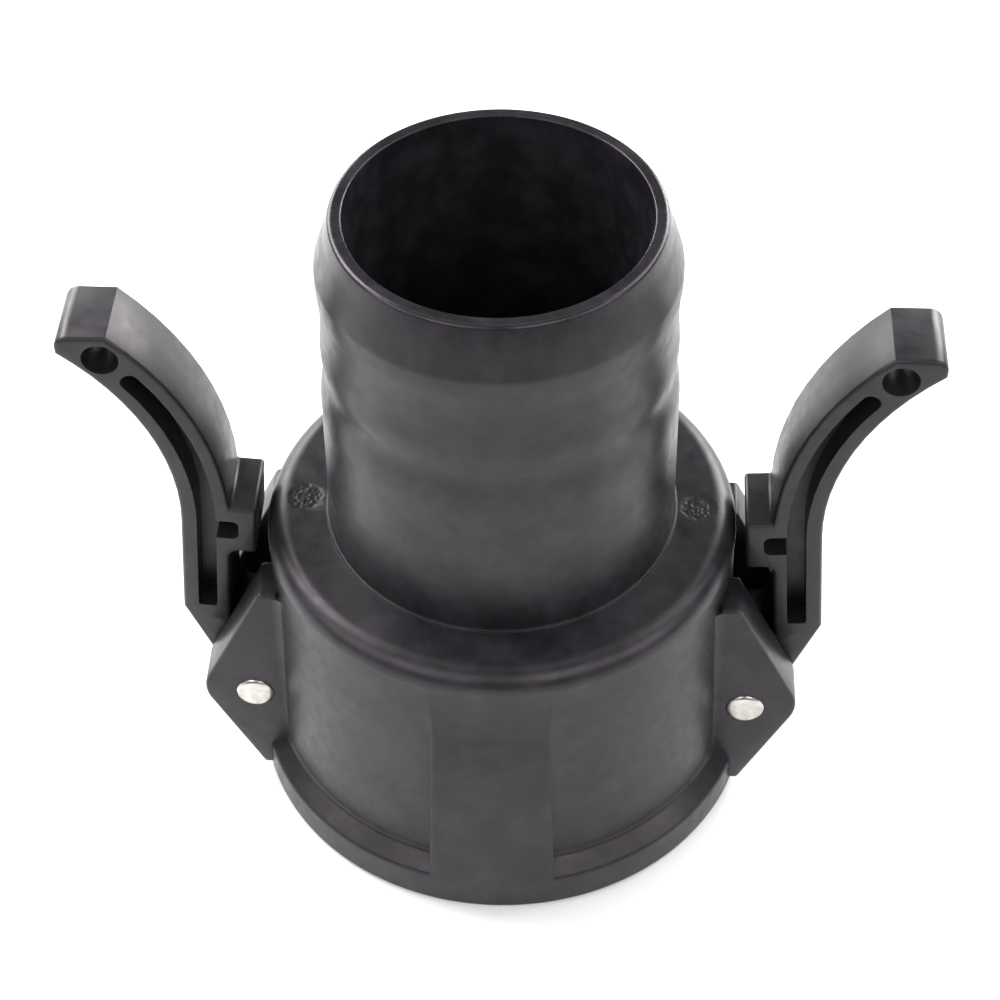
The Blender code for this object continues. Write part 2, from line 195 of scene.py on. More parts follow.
class CouplerSocketSizes(bpy.types.PropertyGroup):
    mouth_radius: length("Mouth radius", "Outer radius of the band round the mouth", BODY_HIGH.y / MM)
    ledge_width: length("Ledge width", "Width of the step on top of the mouth band", 2.9)
    wall_draft: length("Wall draft", "Narrowing of the wall from ledge to shoulder", 1.0)
    band_height: length("Band height", "Height of the mouth band", 9.0)
    band_round: length("Band rounding", "Radius along the mouth band's lower edge", 0.9)
    ledge_slope: length("Ledge slope", "Fall of the ledge from the wall to the band", 2.6)
    ledge_round: length("Ledge rounding", "Radius along the mouth band's upper edge", 1.1)
    ledge_fillet: length("Ledge fillet", "Radius in the corner of the ledge and the wall", 1.3)
    shoulder_height: length("Shoulder height", "Height of the flat ring round the tail's foot", 51.6)
    shoulder_round: length("Shoulder rounding", "Radius of the shoulder's edge", 3.6)
    shoulder_edge: length("Shoulder edge", "Height of the straight edge under the rounding", 0.25)
    shoulder_lip: length("Shoulder lip", "Overhang of the shoulder's edge over the wall", 0.18)
    wall: length("Wall", "Thickness of the socket wall at the shoulder", 4.7)
    mouth_lead_in: length("Mouth lead-in", "Chamfer inside the mouth", 1.2)
    shoulder_thickness: length("Shoulder thickness", "Plastic between shoulder and seal", 6.4)
    groove_clearance: length("Groove clearance", "Space round the seal in its groove", 0.3)
    pad_width: length("Pad width", "Width of the flats flush with the mouth band", 19.8)
    pad_top_depth: length("Pad top depth", "How far below the shoulder the flats run out", 13.4)
    pad_edge: length("Pad edge", "Radius along the edges of the flats", 0.35)


class CouplerTailSizes(bpy.types.PropertyGroup):
    waterway_radius: length("Waterway radius", "Inner radius of the tail at its rim", 21.8)
    waterway_draft: length("Waterway draft", "How much wider the waterway is at its foot", 0.5)
    entry_margin: length("Entry margin", "Seat left between the seal and the waterway's entry", 0.8)
    entry_length: length("Entry length", "Height of the waterway's conical entry", 11.0)
    tail_wall: length("Tail wall", "Thickness of the tail's wall at its neck", 4.75)
    tail_draft: length("Tail draft", "How much the tail widens from its neck to its foot", 0.25)
    foot_ring_width: length("Foot ring width", "Width of the low ring round the tail's foot", 0.42)
    foot_ring_rise: length("Foot ring rise", "Height of the low ring above the shoulder", 0.35)
    foot_groove: length("Foot groove", "Depth of the thin groove inside the ring", 0.3)
    barb_valley: length("Barb valley", "Depth of the valleys between the barbs", 0.36)
    barb_ramp: length("Barb ramp", "Height over which a barb rises from below", 4.2)
    barb_back: length("Barb back", "Height over which a barb falls above its crest", 3.0)
    barb_round: length("Barb rounding", "Radius over the barbs' crests and valleys", 30.0)
    lead_in_length: length("Lead-in length", "Height of the cone at the tail's end", 8.2)
    lead_in_round: length("Lead-in rounding", "Radius where the cone meets the last barb", 3.0)
    rim_wall: length("Rim wall", "Thickness of the tail at its rim", 1.9)
    rim_round: length("Rim rounding", "Radius along the rim's edges", 0.8)
    gate_mark_radius: length("Gate mark radius", "Radius of the two round moulding marks", 2.9)
    gate_mark_place: length("Gate mark place", "Distance of the moulding marks from the axis", 30.6)
    gate_mark_depth: length("Gate mark depth", "Mean depth of the moulding marks' torn floor", 0.14)
    gate_mark_tear: length("Gate mark tear", "How far the torn floor rises and falls", 0.12)


class CouplerEarSizes(bpy.types.PropertyGroup):
    thickness: length("Ear thickness", "Thickness of one ear", 7.45)
    side_clearance: length("Side clearance", "Gap between a lever and an ear", 0.65)
    top_depth: length("Top depth", "How far the ears' tops lie below the shoulder", 8.6)
    top_flat: length("Top flat", "How far the ears' tops stand out from the shoulder", 0.75)
    nose_reach: length("Nose reach", "How far the ears' corners lie past the pin, unrounded", 8.7)
    nose_rise: length("Nose rise", "Height of the ears' noses above the pin", 0.7)
    nose_radius: length("Nose radius", "Radius of the ears' noses", 6.5)
    foot_stand_off: length("Foot stand-off", "How far the ears' feet stand out from the shoulder", 2.7)
    foot_height: length("Foot height", "Height of the ears' feet above the mouth", 1.4)
    edge: length("Ear edge", "Radius along the ears' edges", 0.5)
    root_fillet: length("Root fillet", "Radius between the ears and the wall", 2.6)
    hub_room: length("Hub room", "Space under the lever's hub in the window", 1.3)
    cam_room: length("Cam room", "Space over the opened cam in the window", 1.0)
    pin_room: length("Pin room", "Clearance round the pin in its holes", 0.08)


class CouplerLeverSizes(bpy.types.PropertyGroup):
    lean: angle("Lean", "Inward lean of the closed lever's arm", 4.6)
    edge: length("Lever edge", "Radius along the lever's edges", 0.6)
    hub_radius: length("Hub radius", "Radius of the hub round the pin", 7.0)
    hub_fillet: length("Hub fillet", "Radius between the hub and the arm", 2.5)
    cam_entry: length("Cam entry", "How far the open cam stands into the socket", 3.4)
    cam_nose_radius: length("Cam nose radius", "Radius of the cam's nose", 4.5)
    outer_offset: length("Outer offset", "Distance from the pin to the arm's outer face", 12.5)
    depth: length("Arm depth", "Depth of the arm from its outer to its inner face", 7.6)
    heel_height: length("Heel height", "Height of the arm's heel above the pin", 10.3)
    bend_start: length("Bend start", "Height above the pin where the arm starts to bend", 30.4)
    bend_radius: length("Bend radius", "Radius of the arm's outer face in the bend", 40.0)
    tip_round: length("Tip rounding", "Radius of the tip's corner", 2.2)
    outer_flange: length("Outer flange", "Wall between the channel and the outer face", 2.5)
    inner_flange: length("Inner flange", "Wall between the channel and the inner face", 2.1)
    web: length("Web", "Plastic left between the channels of both sides", 2.5)
    channel_floor: length("Channel floor", "Height above the pin where the channel begins", 11.1)
    channel_round: length("Channel rounding", "Radius of the channel's upper corners", 1.3)
    foot_round: length("Channel foot rounding", "Radius of the channel's lower corners", 0.5)
    lug_gap: length("Lug gap", "Space between the lug and the shoulder", 1.0)
    lug_rise: length("Lug rise", "How far the lug's top stands over the shoulder", 1.9)
    lug_height: length("Lug height", "Height of the lug", 9.5)
    lug_fillet: length("Lug fillet", "Radius between the lug's underside and the arm", 1.5)
    slot_height: length("Lug slot height", "Height of the pocket in the lug", 3.8)
    slot_rise: length("Lug slot rise", "Height of the pocket above the lug's underside", 3.0)
    slot_end_wall: length("Lug slot end wall", "Plastic left at the end of the lug's pocket", 2.7)
    slot_round: length("Lug slot rounding", "Radius at the end of the lug's pocket", 1.1)
    tip_hole_radius: length("Tip hole radius", "Radius of the hole for the pull ring", 2.75)
    tip_hole_turn: angle("Tip hole turn", "How far round the bend the hole's centre lies", 48.5)
    tip_hole_spacing: length("Tip hole spacing", "From the hole's centre to the channel", 4.5)


class CouplerPinSizes(bpy.types.PropertyGroup):
    dome: length("Dome", "Height of the pins' domed ends", 0.35)
    edge: length("Pin edge", "Chamfer round the pins' ends", 0.3)


class CouplerGasketSizes(bpy.types.PropertyGroup):
    width: length("Gasket width", "Width of the seal's ring", 7.9)
    edge: length("Gasket edge", "Radius of the seal's inner edges", 0.6)
    bevel: length("Gasket bevel", "Bevel of the seal's outer edges", 1.7)


class CouplerFinishes(bpy.types.PropertyGroup):
    body_colour: colour("Body colour", "Black polypropylene of the moulded body", (0.0090, 0.0078, 0.0098))
    body_bloom: colour("Body bloom", "Paler glass-rich patches of the body", (0.020, 0.018, 0.0215))
    body_roughness: share("Body roughness", "Roughness of the moulded body", 0.36)
    lever_colour: colour("Lever colour", "Black polypropylene of the levers", (0.0100, 0.0090, 0.0108))
    lever_bloom: colour("Lever bloom", "Paler patches of the levers", (0.020, 0.018, 0.0215))
    lever_roughness: share("Lever roughness", "Roughness of the levers", 0.35)
    polished_height: length("Polished height", "Height of the polished stretch under the rim", 2.2)
    polish: share("Polish", "Share of the roughness that is left at the rim", 0.72)
    plastic_index: amount("Plastic index", "Refractive index of the black plastic", 1.42)
    plastic_sheen: colour("Plastic sheen", "Tint of the reflections of the black plastic", (1.0, 0.93, 1.0))
    grain_size: length("Grain size", "Size of the moulded surface's fine grain", 0.5)
    grain_depth: length("Grain depth", "Depth of the fine grain", 0.008)
    ripple_size: length("Ripple size", "Size of the moulding's soft ripples", 4.5)
    ripple_depth: length("Ripple depth", "Depth of the soft ripples", 0.04)
    edge_softness: length("Edge softness", "Radius that the shading gives to crisp edges", 0.22)
    steel_colour: colour("Steel colour", "Stainless steel of the pins", (0.66, 0.64, 0.60))
    steel_roughness: share("Steel roughness", "Roughness of the pins", 0.26)
    rubber_colour: colour("Rubber colour", "Black nitrile of the seal", (0.014, 0.014, 0.015))
    rubber_roughness: share("Rubber roughness", "Roughness of the seal", 0.72)


class CouplerStudioSettings(bpy.types.PropertyGroup):
    camera_reach: length("Camera reach", "Distance of the camera from the bore's axis", 259.7)
    camera_height: length("Camera height", "Height of the camera above the floor", 322.06)
    camera_azimuth: angle("Camera azimuth", "Turn of the camera round the bore's axis", 3.34)
    camera_yaw: angle("Camera yaw", "Turn of the view away from the bore's axis", -0.06)
    camera_pitch: angle("Camera pitch", "How far the camera looks down", 46.16)
    camera_roll: angle("Camera roll", "Turn of the picture about its centre", -0.74)
    camera_lens: amount("Camera lens", "Focal length in millimetres on a 36 mm sensor", 86.73)
    sky_strength: amount("Sky strength", "Brightness of the white surroundings", 0.2)
    front_power: amount("Front power", "Power of each lamp beside the camera, in watts", 2.1)
    side_power: amount("Side power", "Power of each lamp far out to the side, in watts", 1.35)
    left_power: amount("Left power", "Power of the softbox on the left, in watts", 2.6)
    right_power: amount("Right power", "Power of the softbox on the right, in watts", 1.1)
    rear_left_power: amount("Rear left power", "Power of the softbox behind on the left, in watts", 4.4)
    rear_right_power: amount("Rear right power", "Power of the softbox behind on the right, in watts", 6.2)
    top_power: amount("Top power", "Power of the softbox overhead, in watts", 0.5)


class CouplerSettings(bpy.types.PropertyGroup):
    socket: PointerProperty(type=CouplerSocketSizes)
    tail: PointerProperty(type=CouplerTailSizes)
    ears: PointerProperty(type=CouplerEarSizes)
    levers: PointerProperty(type=CouplerLeverSizes)
    pins: PointerProperty(type=CouplerPinSizes)
    gasket: PointerProperty(type=CouplerGasketSizes)
    finishes: PointerProperty(type=CouplerFinishes)
    studio: PointerProperty(type=CouplerStudioSettings)


def arc(centre, radius, start, end):
    """Points of an arc from one angle to another, both ends included."""
    steps = max(1, math.ceil(abs(end - start) / ARC_STEP))
    angles = [start + (end - start) * i / steps for i in range(steps + 1)]
    return [Vector((centre[0] + radius * math.cos(a), centre[1] + radius * math.sin(a))) for a in angles]


def corner_run(before, corner, after, radius):
    """How much of its corner's edges a fillet takes up."""
    return radius / math.tan((before - corner).angle(after - corner) / 2)


def rounded_corner(before, corner, after, radius):
    """Points of a fillet at a corner, made smaller where its edges are too short for it."""
    back = before - corner
    ahead = after - corner
    half = back.angle(ahead) / 2
    run = min(radius / math.tan(half), EDGE_SHARE * back.length, EDGE_SHARE * ahead.length)
    radius = run * math.tan(half)
    back.normalize()
    ahead.normalize()
    centre = corner + (back + ahead).normalized() * (radius / math.sin(half))
    first = corner + back * run - centre
    last = corner + ahead * run - centre
    start = math.atan2(first.y, first.x)
    sweep = (math.atan2(last.y, last.x) - start + math.pi) % (2 * math.pi) - math.pi
    return arc(centre, radius, start, start + sweep)


def rounded(corners):
    """A closed outline from corners given as (across, up, radius). Fillets that meet share their edge."""
    points = [Vector(corner[:2]) for corner in corners]
    following = points[1:] + points[:1]
    runs = [corner_run(points[i - 1], points[i], following[i], corners[i][2]) for i in range(len(corners))]
    next_runs = runs[1:] + runs[:1]
    outline = []
    for i, (_, _, radius) in enumerate(corners):
        if radius > 0:
            back = EDGE_SHARE * (points[i - 1] - points[i]).length / (runs[i - 1] + runs[i])
            ahead = EDGE_SHARE * (following[i] - points[i]).length / (runs[i] + next_runs[i])
            outline += rounded_corner(points[i - 1], points[i], following[i], radius * min(1, back, ahead))
        else:
            outline.append(points[i])
    return outline


def add_object(name, data):
    item = bpy.data.objects.new(name, data)
    bpy.context.scene.collection.objects.link(item)
    return item


def new_object(name, bm):
    """Turns a finished bmesh into an object."""
    bmesh.ops.remove_doubles(bm, verts=bm.verts, dist=MERGE_DISTANCE)
    bmesh.ops.recalc_face_normals(bm, faces=bm.faces)
    mesh = bpy.data.meshes.new(name)
    bm.to_mesh(mesh)
    bm.free()
    return add_object(name, mesh)


def turned(name, outline, steps, turn=2 * math.pi, start=0.0):
    """A closed (radius, height) outline spun about Z, through a full turn or a part of one."""
    bm = bmesh.new()
    spot = Matrix.Rotation(start, 3, "Z")
    verts = [bm.verts.new(spot @ Vector((r, 0, z))) for r, z in outline]
    edges = [bm.edges.new((verts[i - 1], verts[i])) for i in range(len(verts))]
    full = turn >= 2 * math.pi
    around = {"cent": (0, 0, 0), "axis": (0, 0, 1), "angle": turn, "steps": steps}
    bmesh.ops.spin(bm, geom=edges + verts, use_merge=full, **around)
    if not full:
        bmesh.ops.holes_fill(bm, edges=[edge for edge in bm.edges if edge.is_boundary])
    return new_object(name, bm)


def extruded(name, outline, low, high, upright=False):
    """An (x, z) outline extruded along Y from low to high, or an (x, y) outline along Z."""
    bm = bmesh.new()
    points = [(x, other, low) if upright else (x, low, other) for x, other in outline]
    face = bm.faces.new([bm.verts.new(point) for point in points])
    pushed = bmesh.ops.extrude_face_region(bm, geom=[face])
    moved = [item for item in pushed["geom"] if isinstance(item, bmesh.types.BMVert)]
    way = (0, 0, high - low) if upright else (0, high - low, 0)
    bmesh.ops.translate(bm, verts=moved, vec=way)
    return new_object(name, bm)


def cross_rod(name, radius, half_length, x=0.0, z=0.0):
    """A cylinder along Y."""
    outline = arc((x, z), radius, 0, 2 * math.pi)[:-1]
    return extruded(name, outline, -half_length, half_length)


def ease_edges(piece, width, segments=3):
    bevel = piece.modifiers.new("Eased edges", "BEVEL")
    bevel.width = width
    bevel.segments = segments
    bevel.limit_method = "ANGLE"
    bevel.angle_limit = EASED_ANGLE


def combine(piece, others, operation):
    """Joins to a piece, or cuts from it, other solids."""
    group = bpy.data.collections.new(f"{piece.name} {operation.lower()}")
    bpy.context.scene.collection.children.link(group)
    for other in others:
        bpy.context.scene.collection.objects.unlink(other)
        group.objects.link(other)
    boolean = piece.modifiers.new(operation.title(), "BOOLEAN")
    boolean.operation = operation
    boolean.solver = "EXACT"
    boolean.operand_type = "COLLECTION"
    boolean.collection = group
    return group


def settle(piece, groups=()):
    """Fixes a piece's modifiers into its mesh, removes the solids they used and smooths it."""
    depsgraph = bpy.context.evaluated_depsgraph_get()
    mesh = bpy.data.meshes.new_from_object(piece.evaluated_get(depsgraph))
    piece.modifiers.clear()
    old = piece.data
    piece.data = mesh
    bpy.data.meshes.remove(old)
    mesh.name = piece.name
    for group in groups:
        for guide in list(group.objects):
            bpy.data.objects.remove(guide)
        bpy.data.collections.remove(group)
    bm = bmesh.new()
    bm.from_mesh(mesh)
    bmesh.ops.dissolve_degenerate(bm, dist=LEAST_EDGE, edges=bm.edges)
    bm.to_mesh(mesh)
    bm.free()
    mesh.shade_smooth()
    mesh.set_sharp_from_angle(angle=SHARP_ANGLE)
    if not mesh.polygons:
        raise RuntimeError(f"{piece.name} came out empty")


def dress(piece, material, body, node):
    """Gives a piece its finish and puts it in the place of a CAD node."""
    piece.data.materials.clear()
    piece.data.materials.append(material)
    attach(piece, body)
    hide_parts(node)


def fill(owner, node, **sockets):
    """Sets a node's inputs by their names, to a value or to what another node gives out."""
    for name, value in sockets.items():
        socket = node.inputs[name.replace("_", " ")]
        if isinstance(value, bpy.types.NodeSocket):
            owner.node_tree.links.new(value, socket)
        else:
            socket.default_value = value


def add_node(material, kind, **sockets):
    node = material.node_tree.nodes.new(kind)
    fill(material, node, **sockets)
    return node


def clouds(material, place, size, detail=3.0, roughness=0.55):
    """A noise texture whose features are about the given size, in metres."""
    sockets = {"Vector": place, "Scale": 1 / size, "Detail": detail, "Roughness": roughness}
    return add_node(material, "ShaderNodeTexNoise", **sockets).outputs["Fac"]


def ramp(material, value, span, low=0, high=1):
    """Maps a span of a value to the range from low to high, without going past its ends."""
    sockets = {"Value": value, "From_Min": span[0], "From_Max": span[1], "To_Min": low, "To_Max": high}
    return add_node(material, "ShaderNodeMapRange", **sockets).outputs["Result"]


def uneven(material, value, roughness, swing, span=(0, 1)):
    """A roughness that a noise moves down and up."""
    return ramp(material, value, span, roughness + swing[0], min(1, roughness + swing[1]))


def blend_colours(material, factor, first, second):
    node = add_node(material, "ShaderNodeMix")
    node.data_type = "RGBA"
    fill(material, node, Factor=factor, A=(*first, 1), B=(*second, 1))
    return node.outputs["Result"]


def bump(material, height, distance, **normal):
    """A surface that a noise raises by up to a distance, over the one given as Normal."""
    node = add_node(material, "ShaderNodeBump", Strength=1.0, Distance=distance, Height=height, **normal)
    return node.outputs["Normal"]


def new_material(name, flat_colour):
    """A material with a Principled shader, its colour for the solid view, and object coordinates."""
    material = bpy.data.materials.new(name)
    material.use_nodes = True
    material.diffuse_color = (*flat_colour, 1)
    shader = material.node_tree.nodes["Principled BSDF"]
    return material, shader, add_node(material, "ShaderNodeTexCoord").outputs["Object"]


def moulded_plastic(part, finishes):
    """Black glass-filled polypropylene: faint pale mottling, fine grain and soft ripples."""
    values = ("colour", "bloom", "roughness")
    base, bloom, roughness = [getattr(finishes, f"{part}_{value}") for value in values]
    material, shader, place = new_material(f"Black {part} plastic", base)
    patches = ramp(material, clouds(material, place, *PATCH_NOISE), PATCH_SPAN)
    tone = blend_colours(material, patches, base, bloom)
    shine = uneven(material, clouds(material, place, *SHINE_NOISE), roughness, PLASTIC_SWING, SHINE_SPAN)
    height = add_node(material, "ShaderNodeSeparateXYZ", Vector=place).outputs["Z"]
    rim = BODY_HIGH.z - finishes.polished_height
    polish = ramp(material, height, (rim - POLISH_FADE, rim), 1, finishes.polish)
    spread = add_node(material, "ShaderNodeMath")
    spread.operation = "MULTIPLY"
    for factor, socket in zip((shine, polish), spread.inputs):
        material.node_tree.links.new(factor, socket)
    soft_edges = add_node(material, "ShaderNodeBevel", Radius=finishes.edge_softness)
    soft_edges.samples = 4
    ripples = clouds(material, place, finishes.ripple_size, *RIPPLE_NOISE)
    normal = bump(material, ripples, finishes.ripple_depth, Normal=soft_edges.outputs["Normal"])
    grain = clouds(material, place, finishes.grain_size, *GRAIN_NOISE)
    normal = bump(material, grain, finishes.grain_depth, Normal=normal)
    fill(material, shader, Base_Color=tone, Roughness=spread.outputs["Value"], Normal=normal)
    fill(material, shader, IOR=finishes.plastic_index, Specular_Tint=(*finishes.plastic_sheen, 1))
    return material


def bright_steel(finishes):
    """Stainless pins: ends with fine turning rings and a few dull spots."""
    base = finishes.steel_colour
    material, shader, place = new_material("Stainless pin steel", base)
    spots = ramp(material, clouds(material, place, *SPOT_NOISE), SPOT_SPAN)
    tone = blend_colours(material, spots, base, [DULL_SHARE * channel for channel in base])
    rough = uneven(material, spots, finishes.steel_roughness, STEEL_SWING)
    rings = add_node(material, "ShaderNodeTexWave", Vector=place, Scale=TURNING_SCALE, Distortion=1.5)
    rings.wave_type = "RINGS"
    rings.rings_direction = "Y"
    normal = bump(material, rings.outputs["Fac"], TURNING_DEPTH)
    fill(material, shader, Metallic=1.0, Base_Color=tone, Roughness=rough, Normal=normal)
    return material


def seal_rubber(finishes):
    """Black nitrile rubber with a dusty bloom and a fine matt grain."""
    base = finishes.rubber_colour
    material, shader, place = new_material("Black nitrile seal", base)
    dust = ramp(material, clouds(material, place, *DUST_NOISE), DUST_SPAN)
    tone = blend_colours(material, dust, base, [DUST_GAIN * channel for channel in base])
    rough = uneven(material, dust, finishes.rubber_roughness, RUBBER_SWING)
    normal = bump(material, clouds(material, place, RUBBER_GRAIN_SIZE), RUBBER_GRAIN_DEPTH)
    fill(material, shader, Base_Color=tone, Roughness=rough, Normal=normal)
    return material


def shoulder_radius(socket):
    return socket.mouth_radius - socket.ledge_width - socket.wall_draft


def bore_radius(socket):
    return shoulder_radius(socket) - socket.wall


def wall_middle(socket):
    """Radius inside the socket wall from which what joins it starts."""
    return bore_radius(socket) + socket.wall / 2


def shoulder_edge_low(socket):
    """Height of the line where the shoulder's edge meets the drafted wall."""
    return socket.shoulder_height - socket.shoulder_round - socket.shoulder_edge


def band_straight_top(socket):
    """Height up to which the mouth band's face is certainly straight."""
    return socket.band_height - socket.ledge_slope - socket.ledge_round


def wall_radius(socket, height):
    """Outer radius of the drafted socket wall between the ledge and the shoulder."""
    top = shoulder_edge_low(socket)
    part = (height - socket.band_height) / (top - socket.band_height)
    ledge = socket.mouth_radius - socket.ledge_width
    return ledge + (shoulder_radius(socket) - socket.shoulder_lip - ledge) * part


def socket_corners(socket):
    """Corners of the socket's outside, from the mouth up to the shoulder's edge."""
    shoulder = shoulder_radius(socket)
    edge_low = shoulder_edge_low(socket)
    return [
        (socket.mouth_radius, 0, socket.band_round),
        (socket.mouth_radius, socket.band_height - socket.ledge_slope, socket.ledge_round),
        (socket.mouth_radius - socket.ledge_width, socket.band_height, socket.ledge_fillet),
        (shoulder - socket.shoulder_lip, edge_low, 0),
        (shoulder, edge_low + LIP_RISE_SHARE * socket.shoulder_lip, LIP_ROUND_SHARE * socket.shoulder_lip),
        (shoulder, socket.shoulder_height, socket.shoulder_round),
    ]


def tail_corners(tail, socket):
    """Corners of the hose tail's outside, from the shoulder up to the rim."""
    neck = tail.waterway_radius + tail.tail_wall
    foot = neck + tail.tail_draft
    ring = foot + tail.foot_ring_width
    low = socket.shoulder_height
    ring_top = low + tail.foot_ring_rise
    groove = ring_top - tail.foot_groove
    places = ((ring, low), (ring, ring_top), (foot, ring_top))
    corners = [(*place, part * tail.foot_ring_width) for place, part in zip(places, FOOT_RING_SHARES)]
    corners.append((foot, groove, 0))
    crests = [Vector((neck + step, BODY_HIGH.z - depth)) for step, depth in BARB_CRESTS]
    corners.append((neck, crests[0].y - tail.barb_back, tail.barb_round))
    for crest, following in zip(crests, crests[1:]):
        valley = min(crest.x, following.x) - tail.barb_valley
        corners += [
            (crest.x, crest.y, tail.barb_round),
            (valley, crest.y + tail.barb_ramp, tail.barb_round),
            (valley, following.y - tail.barb_back, tail.barb_round),
        ]
    lead_in = BODY_HIGH.z - tail.lead_in_length
    last = crests[-1]
    corners += [
        (last.x, last.y, 0),
        (last.x, lead_in, tail.lead_in_round),
        (tail.waterway_radius + tail.rim_wall, BODY_HIGH.z, tail.rim_round),
    ]
    return corners


def inside_corners(tail, socket):
    """Corners of the body's inside, from the rim down to the mouth."""
    bore = bore_radius(socket)
    groove = GASKET_HIGH.y + socket.groove_clearance
    seat = socket.shoulder_height - socket.shoulder_thickness
    groove_low = GASKET_LOW.z - socket.groove_clearance
    gasket_bore = GASKET_HIGH.y - bpy.context.scene.coupler.gasket.width
    return [
        (tail.waterway_radius, BODY_HIGH.z, INNER_RIM_SHARE * tail.rim_round),
        (tail.waterway_radius + tail.waterway_draft, seat + tail.entry_length, ENTRY_ROUND),
        (gasket_bore - tail.entry_margin, seat, BORE_ROUND),
        (groove, seat, GROOVE_ROUND),
        (groove, groove_low, GROOVE_ROUND),
        (bore, groove_low, BORE_ROUND),
        (bore, socket.mouth_lead_in, BORE_ROUND),
        (bore + socket.mouth_lead_in, 0, GROOVE_ROUND),
    ]


def ear_outline(ears, socket):
    """Side view of one ear on the +X side, from inside the socket wall outwards."""
    shoulder = shoulder_radius(socket)
    root = wall_middle(socket)
    top_height = socket.shoulder_height - ears.top_depth
    nose = (PIN_CENTRE.x + ears.nose_reach, PIN_CENTRE.z + ears.nose_rise, ears.nose_radius)
    return rounded([
        (root, ears.foot_height, 0),
        (shoulder + ears.foot_stand_off, ears.foot_height, 0),
        nose,
        (shoulder + ears.top_flat, top_height, 0),
        (root, top_height, 0),
    ])


def ear_slot_half(ears):
    return LEVER_HIGH.y + ears.side_clearance


def root_fillet_outline(ears, socket):
    """Plan view of the fillet between an ear's outer face and the socket wall, on +X and +Y."""
    wall = shoulder_radius(socket) - socket.shoulder_lip
    root = wall_middle(socket)
    face = ear_slot_half(ears) + ears.thickness
    centre_y = face + ears.root_fillet
    centre_x = math.sqrt((wall + ears.root_fillet) ** 2 - centre_y ** 2)
    start = math.atan2(centre_y, centre_x) + math.pi
    curve = arc((centre_x, centre_y), ears.root_fillet, start, 1.5 * math.pi)
    behind = face - OVERSHOOT
    return curve + [Vector((curve[-1].x, behind)), Vector((root, behind)), curve[0] * (root / wall)]


def ears_and_roots(ears, socket):
    """The four ears and the fillets at their roots."""
    slot_half = ear_slot_half(ears)
    face = slot_half + ears.thickness
    solids = []
    for side in (1, -1):
        for front in (1, -1):
            low, high = sorted((front * slot_half, front * face))
            outline = [(side * x, z) for x, z in ear_outline(ears, socket)]
            ear = extruded("ear", outline, low, high)
            ease_edges(ear, ears.edge)
            corner = [(side * x, front * y) for x, y in root_fillet_outline(ears, socket)]
            high = socket.shoulder_height - ears.top_depth - ears.edge
            fillet = extruded("root_fillet", corner, band_straight_top(socket), high, upright=True)
            solids += [ear, fillet]
    return solids


def pads(socket):
    """The two flats on the front and back of the socket, flush with the mouth band."""
    root = wall_middle(socket)
    half_turn = math.asin(socket.pad_width / 2 / socket.mouth_radius)
    top = socket.shoulder_height - socket.pad_top_depth
    low = band_straight_top(socket) - OVERSHOOT
    flush = socket.mouth_radius * math.cos(math.pi / TURN_STEPS)
    outline = [(root, low), (flush, low), (flush, socket.band_height), (wall_radius(socket, top), top),
               (root, top)]
    solids = []
    for front in (1, -1):
        start = front * math.pi / 2 - half_turn
        pad = turned("pad", outline, PAD_STEPS, turn=2 * half_turn, start=start)
        ease_edges(pad, socket.pad_edge, 2)
        solids.append(pad)
    return solids


def gate_marks(tail, socket):
    """What is cut for the two round marks that the mould's gates leave: shallow, with a torn floor."""
    low = -tail.gate_mark_depth
    radius = tail.gate_mark_radius
    floor = [(radius * ring / GATE_RINGS, low) for ring in range(GATE_FLOOR_RINGS + 1)]
    edge = [(radius * out, down * low) for out, down in GATE_EDGE]
    solids = []
    for side in (1, -1):
        mark = turned("gate_mark", [*floor, *edge, (radius, OVERSHOOT), (0, OVERSHOOT)], GATE_STEPS)
        for vert in mark.data.vertices:
            if vert.co.z < 0:
                spot = Vector((vert.co.x, vert.co.y, side * radius)) / radius
                tear = sum(weight * noise.noise(fineness * spot) for weight, fineness in GATE_TEARS)
                vert.co.z = min(-GATE_LEAST_DEPTH, vert.co.z + tail.gate_mark_tear * tear)
        place = (side * tail.gate_mark_place, GATE_MARK_Y, socket.shoulder_height)
        mark.data.transform(Matrix.Translation(place))
        solids.append(mark)
    return solids


def windows_and_pin_holes(ears, socket, levers):
    """What is cut through the wall and the ears: two lever windows and two pin holes."""
    slot_half = ear_slot_half(ears)
    low = PIN_CENTRE.z - levers.hub_radius - ears.hub_room
    cam_reach = PIN_CENTRE.x - bore_radius(socket) + levers.cam_entry
    high = PIN_CENTRE.z + cam_reach + ears.cam_room
    hole_radius = PIN_RADIUS + ears.pin_room
    solids = []
    for side in (1, -1):
        near = side * (bore_radius(socket) - 2 * slot_half)
        far = side * (PIN_CENTRE.x + ears.nose_reach)
        corners = [(near, low), (far, low), (far, high), (near, high)]
        window = extruded("window", corners, -slot_half, slot_half)
        hole = cross_rod("pin_hole", hole_radius, PIN_HIGH.y + OVERSHOOT, side * PIN_CENTRE.x, PIN_CENTRE.z)
        solids += [window, hole]
    return solids


def leaned(levers, offset, height):
    """A point beside the arm's straight stretch, in the lever's own frame about its pin."""
    across = Vector((math.cos(levers.lean), math.sin(levers.lean)))
    along = Vector((-math.sin(levers.lean), math.cos(levers.lean)))
    return across * offset + along * height


def bend_centre(levers):
    return leaned(levers, levers.outer_offset + levers.bend_radius, levers.bend_start)


def on_bend(levers, radius, turn):
    """A point on the bend, at an angle turned from where the bend starts."""
    heading = math.pi + levers.lean - turn
    return bend_centre(levers) + Vector((math.cos(heading), math.sin(heading))) * radius


def bend_arc(levers, radius, start, end):
    heading = math.pi + levers.lean
    return arc(bend_centre(levers), radius, heading - start, heading - end)


